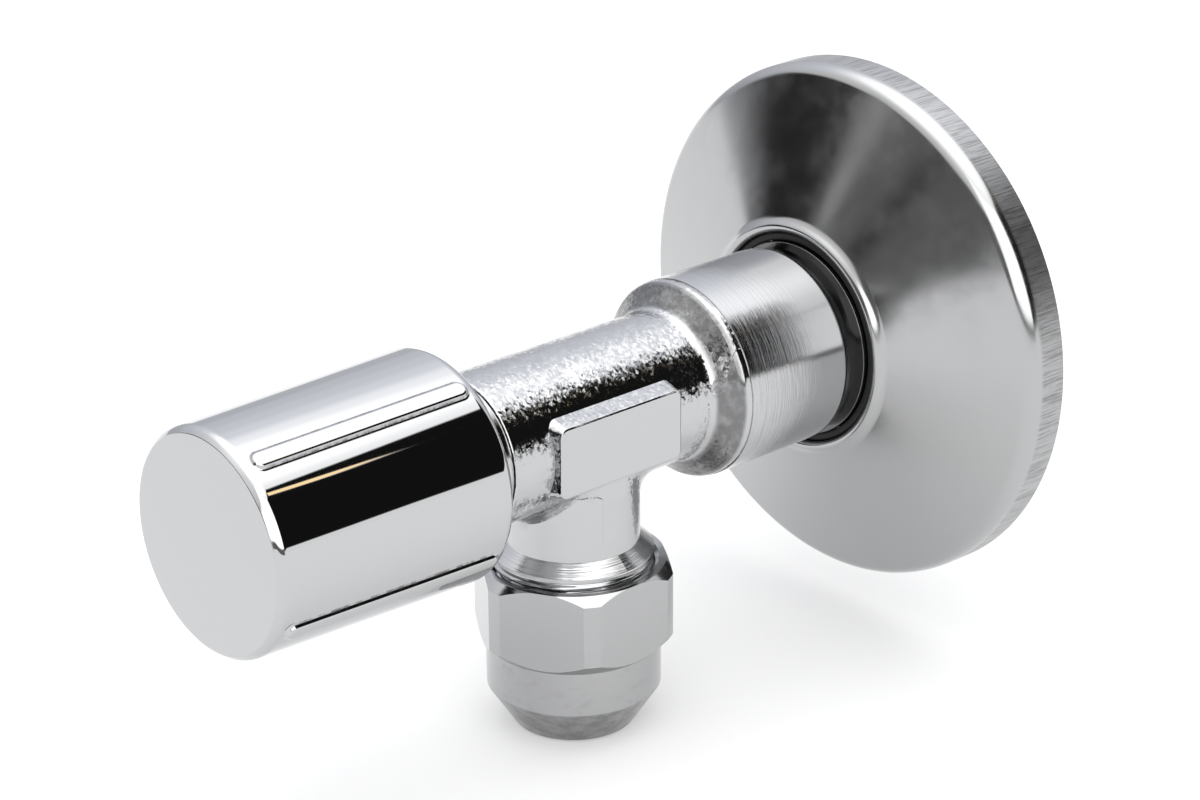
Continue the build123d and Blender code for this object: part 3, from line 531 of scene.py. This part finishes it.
def finished(made, name, sharp):
    """The bmesh as an object with smooth faces and sharp corners.

    A corner that comes from a CAD node keeps the normal it had there.
    """
    bmesh.ops.remove_doubles(made, verts=made.verts, dist=0.002 * MM)
    bmesh.ops.dissolve_degenerate(made, edges=made.edges, dist=0.001 * MM)
    bmesh.ops.recalc_face_normals(made, faces=made.faces)
    mesh = bpy.data.meshes.new(name)
    made.to_mesh(mesh)
    made.free()
    if "custom_normal" in mesh.attributes:
        mesh.attributes.remove(mesh.attributes["custom_normal"])
    mesh.shade_smooth()
    mesh.set_sharp_from_angle(angle=radians(sharp))
    if KEPT in mesh.attributes:
        kept = [Vector(item.vector) for item in mesh.attributes[KEPT].data]
        fresh = [Vector(item.vector) for item in mesh.corner_normals]
        mesh.normals_split_custom_set([k if k.length > 0.5 else f for k, f in zip(kept, fresh)])
        mesh.attributes.remove(mesh.attributes[KEPT])
    piece = bpy.data.objects.new(name, mesh)
    scene.collection.objects.link(piece)
    return piece


def cut_node(node, dropped):
    """A bmesh of a CAD node, with its normals kept, without the faces that dropped() names."""
    mesh = frame["nodes"][node].data
    normals = [Vector(item.vector) for item in mesh.corner_normals]
    made = bmesh.new()
    made.from_mesh(mesh)
    kept = made.loops.layers.float_vector.new(KEPT)
    loops = [loop for face in made.faces for loop in face.loops]
    for loop, normal in zip(loops, normals):
        loop[kept] = normal
    faces = [face for face in made.faces
             if dropped([v.co for v in face.verts], face.calc_center_median())]
    bmesh.ops.delete(made, geom=faces, context="FACES")
    return made


def from_inlet_axis(point):
    return hypot(point.x, point.z) / MM


def from_outlet_axis(point):
    return hypot(point.x, point.y + BRANCH_D * MM) / MM


def on_neck(corners, middle):
    """True for a face on the outside of the neck or of the inlet thread."""
    d = -middle.y / MM
    return (INLET_THREAD_START_D < d < NECK_FRONT_D - 0.01
            and min(from_inlet_axis(corner) for corner in corners) > RELIEF_R - 0.05)


def on_outlet_thread(corners, middle):
    """True for a face of the outlet thread's plain cylinder."""
    heights = [-corner.z / MM for corner in corners]
    return (min(heights) > OUTLET_CREST_H - 0.01 and max(heights) < OUTLET_THREAD_END_H + 0.01
            and all(abs(from_outlet_axis(corner) - OUTLET_R) < 0.02 for corner in corners))


def thread(angle, start, end, pitch, depth, radius, fade_start, fade_end):
    """Points along a right-hand thread at one angle round its axis."""
    rows = []
    count = round((end - start) / pitch * THREAD_STEPS)
    for k in range(count + 1):
        along = start + (end - start) * k / count
        wave = 0.5 - 0.5 * cos(2 * pi * (along / pitch) - angle)
        full = min(1.0, (along - start) / THREAD_FADE if fade_start else 1.0,
                   (end - along) / THREAD_FADE if fade_end else 1.0)
        rows.append((radius - depth * full * wave ** THREAD_SHAPE, along))
    return rows


def valve_body():
    """The CAD body with real thread turns and the neck's fine steps."""
    made = cut_node("valve_body", lambda corners, middle:
                    on_neck(corners, middle) or on_outlet_thread(corners, middle))
    neck = rounded([
        (RELIEF_R, INLET_THREAD_END_D),
        (RELIEF_R, LAND_REAR_D),
        (THREAD_R, LAND_REAR_D, 0.1),
        (THREAD_R, LAND_FRONT_D, 0.1),
        (GROOVE_R, LAND_FRONT_D),
        (GROOVE_R, GROOVE_FRONT_D),
        (THREAD_R, NECK_FULL_D, NECK_ROUND),
        (THREAD_R, NECK_FRONT_D),
    ])
    angles = all_round(THREAD_COLUMNS)
    sleeve(made, round_inlet, angles, lambda angle: thread(
        angle, INLET_THREAD_START_D, INLET_THREAD_END_D, INLET_PITCH, INLET_THREAD_DEPTH,
        THREAD_R, True, False) + neck)
    crest = [(OUTLET_R, OUTLET_CREST_H), (OUTLET_R, OUTLET_THREAD_START_H)]
    sleeve(made, round_outlet, angles, lambda angle: crest + thread(
        angle, OUTLET_THREAD_START_H, OUTLET_THREAD_END_H, OUTLET_PITCH, OUTLET_THREAD_DEPTH,
        OUTLET_R, True, True))
    return finished(made, "threaded_body", 30.0)


def revolved(profile, columns, name, sharp):
    """A closed profile turned round the inlet axis."""
    made = bmesh.new()
    sleeve(made, round_inlet, all_round(columns), lambda angle: profile, True)
    return finished(made, name, sharp)


def wall_rosette():
    """One pressed sheet of even thickness, with a lip rolled up round its hole."""
    outer = rounded([
        (ROSETTE_R, 0.0),
        (ROSETTE_R, ROSETTE_SKIRT, SHOULDER_ROUND),
        (CREASE_R, CREASE_D, CREASE_ROUND),
        (HOLE_R, LIP_APEX_D, LIP_ROUND),
        (HOLE_R, COLLAR_END_D),
    ], 12)
    return revolved(outer + inside(outer, SHEET)[::-1], ROSETTE_COLUMNS, "pressed_rosette", 40.0)


def grip_ring():
    """The bush between neck and rosette, set back behind the rosette's lip."""
    profile = rounded([
        (GRIP_INNER_R, GRIP_FRONT_D, GRIP_EDGE),
        (GRIP_OUTER_R, GRIP_FRONT_D, GRIP_EDGE),
        (GRIP_OUTER_R, GRIP_FLANGE_D),
        (GRIP_FLANGE_R, GRIP_FLANGE_D),
        (GRIP_FLANGE_R, GRIP_REAR_D),
        (GRIP_INNER_R, GRIP_REAR_D),
    ], 5)
    return revolved(profile, GRIP_COLUMNS, "rosette_bush", 32.0)


def handle_radius(d):
    share = (d - HANDLE_REAR_D) / (HANDLE_FACE_D - HANDLE_REAR_D)
    return HANDLE_REAR_R + (HANDLE_FACE_R - HANDLE_REAR_R) * share


def rib_section():
    """Half of a rib's section: distance from its middle line, and height."""
    return rounded([(0.0, RIB_HEIGHT), (RIB_HALF_WIDTH, RIB_HEIGHT, RIB_ROUND),
                    (RIB_ROOT, 0.0, RIB_ROUND), (RIB_ZONE * 1.5, 0.0)], 6)


def rib_height(section, away):
    """The section's height at a distance from its middle line."""
    for near, far in zip(section, section[1:]):
        if away <= far.x:
            share = (away - near.x) / max(far.x - near.x, 1e-9)
            return near.y + (far.y - near.y) * share
    return 0.0


def rib_angles():
    """Angles round the handle: close together at the ribs, wide between them."""
    fine = RIB_ZONE / HANDLE_FACE_R
    count = round(2 * RIB_ZONE / RIB_GRID)
    wide = COLUMNS_BETWEEN_RIBS
    angles = []
    for rib in range(RIBS):
        middle = radians(RIB_ANGLE) + RIB_TURN * rib
        angles += [middle - fine + 2 * fine * k / count for k in range(count)]
        angles += [middle + fine + (RIB_TURN - 2 * fine) * k / wide for k in range(wide)]
    return angles


def handle_rows():
    """Radius and d from the middle of the face to the rear mouth, close together at rib ends."""
    bevel_d = HANDLE_FACE_D - BEVEL_LENGTH
    face_r = HANDLE_FACE_R - BEVEL_DEPTH
    outline = rounded([(0.0, HANDLE_FACE_D), (face_r, HANDLE_FACE_D, FACE_EDGE),
                       (handle_radius(bevel_d), bevel_d, BEVEL_ROUND),
                       (HANDLE_REAR_R, HANDLE_REAR_D, REAR_EDGE),
                       (HANDLE_REAR_R - HANDLE_SKIN - 0.05, HANDLE_REAR_D)], 10)
    rows = []
    for near, far in zip(outline, outline[1:]):
        rows.append(near)
        if near.y - far.y > 5:
            rows += [Vector((handle_radius(d), d)) for d in straight_rows(near.y, far.y)]
    return rows + [outline[-1]]


def straight_rows(front, rear):
    """Distances d along the handle's straight side, close together where a rib ends."""
    ends = [RIB_FRONT_D + 0.5, RIB_FRONT_D - RIB_ZONE, RIB_REAR_D + RIB_ZONE, RIB_REAR_D - 0.5]
    ends = [min(max(d, rear), front) for d in ends]
    rows = []
    for near, far, step in zip(ends, ends[1:], (RIB_GRID, STRAIGHT_GRID, RIB_GRID)):
        count = round((near - far) / step)
        rows += [near + (far - near) * k / count for k in range(count)]
    return rows + [ends[-1]]


def handle():
    """The CAD cap with a finer skin: bevelled face, and flat ribs with sloping flanks."""
    made = cut_node("handle", lambda corners, middle: (
        -middle.y / MM > HANDLE_SOLID_D
        or from_inlet_axis(middle) > handle_radius(-middle.y / MM) - HANDLE_SKIN))
    section = rib_section()
    rows = handle_rows()
    core_front = RIB_FRONT_D - RIB_HALF_WIDTH
    core_rear = RIB_REAR_D + RIB_HALF_WIDTH

    def column(angle):
        off = (angle - radians(RIB_ANGLE) + RIB_TURN / 2) % RIB_TURN - RIB_TURN / 2
        points = []
        for row in rows:
            beyond = max(row.y - core_front, core_rear - row.y, 0.0)
            away = hypot(off * row.x, beyond)
            lift = rib_height(section, away) if row.x > HANDLE_FACE_R - 1 else 0.0
            points.append((row.x + lift, row.y))
        return points

    sleeve(made, round_inlet, rib_angles(), column)
    return finished(made, "ribbed_handle", 40.0)


SHAPED = (
    ("valve_body", valve_body, "valve", "body_chrome"),
    ("wall_rosette", wall_rosette, "rosette", "rosette_chrome"),
    ("rosette_grip_ring", grip_ring, "grip_ring", "black_plastic"),
    ("handle", handle, "handle", "handle_chrome"),
)


def shape_pieces(finishes):
    """Pieces with fine forms that stand for their CAD nodes."""
    for node, build, body, slot in SHAPED:
        piece = build()
        piece.data.materials.clear()
        piece.data.materials.append(finishes[slot])
        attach(piece, body)
        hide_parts(node)


def make_camera():
    back = Vector((sin(radians(CAMERA_AZIMUTH)) * cos(radians(CAMERA_ELEVATION)),
                   -cos(radians(CAMERA_AZIMUTH)) * cos(radians(CAMERA_ELEVATION)),
                   sin(radians(CAMERA_ELEVATION))))
    right = Vector((cos(radians(CAMERA_AZIMUTH)), sin(radians(CAMERA_AZIMUTH)), 0))
    up = back.cross(right)
    turn = radians(CAMERA_ROLL)
    rolled_right = cos(turn) * right + sin(turn) * up
    rolled_up = cos(turn) * up - sin(turn) * right
    data = bpy.data.cameras.new("camera")
    data.sensor_width = SENSOR_WIDTH
    data.lens = CAMERA_LENS
    data.clip_start = 0.01
    data.clip_end = 20.0
    camera = bpy.data.objects.new("camera", data)
    rotation = Matrix((rolled_right, rolled_up, back)).transposed()
    camera.matrix_world = Matrix.Translation(CAMERA_PLACE) @ rotation.to_4x4()
    scene.collection.objects.link(camera)
    scene.camera = camera


def make_floor():
    """A wide white table."""
    mesh = bpy.data.meshes.new("floor")
    half = FLOOR_SIZE / 2
    corners = [(-half, -half, FLOOR_Z), (half, -half, FLOOR_Z), (half, half, FLOOR_Z),
               (-half, half, FLOOR_Z)]
    mesh.from_pydata(corners, [], [(0, 1, 2, 3)])
    floor = bpy.data.objects.new("floor", mesh)
    scene.collection.objects.link(floor)
    mesh.materials.append(material("floor_white", floor_white))


def floor_white(graph):
    """White that glows, so that the valve throws only a faint shadow on it."""
    shader = graph.node("ShaderNodeBsdfPrincipled", {
        "Base Color": (*(FLOOR_WHITE,) * 3, 1.0), "Roughness": 1.0,
        "Specular IOR Level": 0.0, "Emission Color": (1.0, 1.0, 1.0, 1.0),
        "Emission Strength": FLOOR_GLOW})
    return shader.outputs["BSDF"]


# Studio: azimuths are degrees from the front towards +X, heights are degrees above the horizon
WALL_START = 167.0           # the pale wall runs from here behind the valve to its left side
WALL_END = -66.0
WALL_LIGHT = ((0, 0.50), (8, 0.53), (20, 0.68), (32, 0.80), (42, 0.95), (50, 1.28), (57, 1.75),
              (90, 2.5))
WALL_TINT = (0.972, 1.0, 1.07)
TINT_UNTIL = 58.0
WHITE_LOW_UNTIL = 3.0        # the white ground reaches this high behind the valve
BLACK_LIGHT = 0.008
BLACK_TOP = 49.0
PANEL_START = 25.0           # bright panel at the right of the camera
PANEL_END = 98.0
PANEL_LOW = 5.0
PANEL_TOP = 50.0
PANEL_LIGHT = 1.9
DARK_LEFT_LIGHT = 0.02
DARK_LIGHT = 0.14
STREAK = (-33.0, 2.6, 12.0, 25.0, 0.42)     # azimuth, half width, low, high, light
DARK_PATCH = (-17.0, 2.4, 6.0, 14.0, 0.03)
GOLD_AZIMUTH = 135.0         # a thin warm lamp
GOLD_HALF_WIDTH = 1.0
GOLD_FROM = 42.0
GOLD_TO = 46.8
GOLD = (1.0, 0.72, 0.38)
GOLD_LIGHT = 1.6
DARK_STEP_AT = -37.0
DARK_TOP = 20.0
DARK_TOP_RIGHT = 27.0
GROUND_LIGHT = 0.95
BRIGHTEST = 3.0
LIGHT_LEVEL = 1.3


def make_world():
    """A pale wall behind and on the left, black and a bright panel on the right, dark in front."""
    world = bpy.data.worlds.new("studio")
    world.use_nodes = True
    scene.world = world
    graph = Graph(world.node_tree)
    direction = graph.node("ShaderNodeTexCoord").outputs["Generated"]
    parts = graph.node("ShaderNodeSeparateXYZ", {"Vector": direction})
    x, y, z = (parts.outputs[name] for name in "XYZ")
    azimuth = graph.mul(graph.math("ARCTAN2", x, graph.mul(y, -1.0)), 180 / pi)
    height = graph.mul(graph.math("ARCSINE", z), 180 / pi)

    wall = graph.ramp(height, WALL_LIGHT, BRIGHTEST)
    dark = graph.step(azimuth, DARK_STEP_AT - 4, DARK_STEP_AT + 4, DARK_LEFT_LIGHT, DARK_LIGHT)
    dark_top = graph.step(azimuth, -10.0, 8.0, DARK_TOP, DARK_TOP_RIGHT)
    front = graph.mix(graph.step(height, graph.sub(dark_top, 3.0), graph.add(dark_top, 3.0)),
                      dark, wall)
    black = graph.mix(graph.step(height, BLACK_TOP - 0.6, BLACK_TOP + 0.6), BLACK_LIGHT, wall)
    low_white = graph.step(height, WHITE_LOW_UNTIL - 1, WHITE_LOW_UNTIL)
    black = graph.mix(low_white, GROUND_LIGHT, black)
    in_panel = graph.mul(graph.band(azimuth, PANEL_START, PANEL_END, 2.0),
                         graph.band(height, PANEL_LOW, PANEL_TOP, 1.5))
    right_side = graph.step(azimuth, PANEL_END - 1, PANEL_END + 1)
    left_side = graph.most(graph.step(azimuth, WALL_END - 8, WALL_END + 8, 1.0, 0.0),
                           graph.step(azimuth, WALL_START - 3, WALL_START + 3))
    for at, half, low, high, bright in (STREAK, DARK_PATCH):
        patch = graph.mul(graph.band(azimuth, at - half, at + half, 1.2),
                          graph.band(height, low, high, 2.0))
        front = graph.mix(patch, front, bright)
    light = graph.mix(right_side, front, black)
    light = graph.mix(in_panel, light, PANEL_LIGHT)
    light = graph.mix(left_side, light, wall)
    ground = graph.mix(graph.step(height, -1.0, 0.0), GROUND_LIGHT, light)
    in_front = graph.band(azimuth, WALL_END, PANEL_START, 4.0)
    light = graph.mix(in_front, ground, light)

    low_wall = graph.mul(graph.step(height, -1.0, 1.0),
                         graph.step(height, TINT_UNTIL - 20, TINT_UNTIL, 1.0, 0.0))
    colour = graph.mix_colour(graph.mul(left_side, low_wall), (1.0, 1.0, 1.0), WALL_TINT)
    gold = graph.mul(graph.band(azimuth, GOLD_AZIMUTH - GOLD_HALF_WIDTH,
                                GOLD_AZIMUTH + GOLD_HALF_WIDTH, 0.3),
                     graph.mul(graph.step(height, GOLD_FROM, GOLD_FROM + 1.5),
                               graph.step(height, GOLD_TO, GOLD_TO + 0.5, 1.0, 0.0)))
    light = graph.mix(gold, light, GOLD_LIGHT)
    colour = graph.mix_colour(gold, colour, GOLD)
    background = graph.node("ShaderNodeBackground", {"Color": colour,
                                                     "Strength": graph.mul(light, LIGHT_LEVEL)})
    graph.node("ShaderNodeOutputWorld", {"Surface": background.outputs[0]})


scene.view_settings.view_transform = "Standard"
finishes = dress_nodes()
shape_pieces(finishes)
make_world()
make_floor()
make_camera()
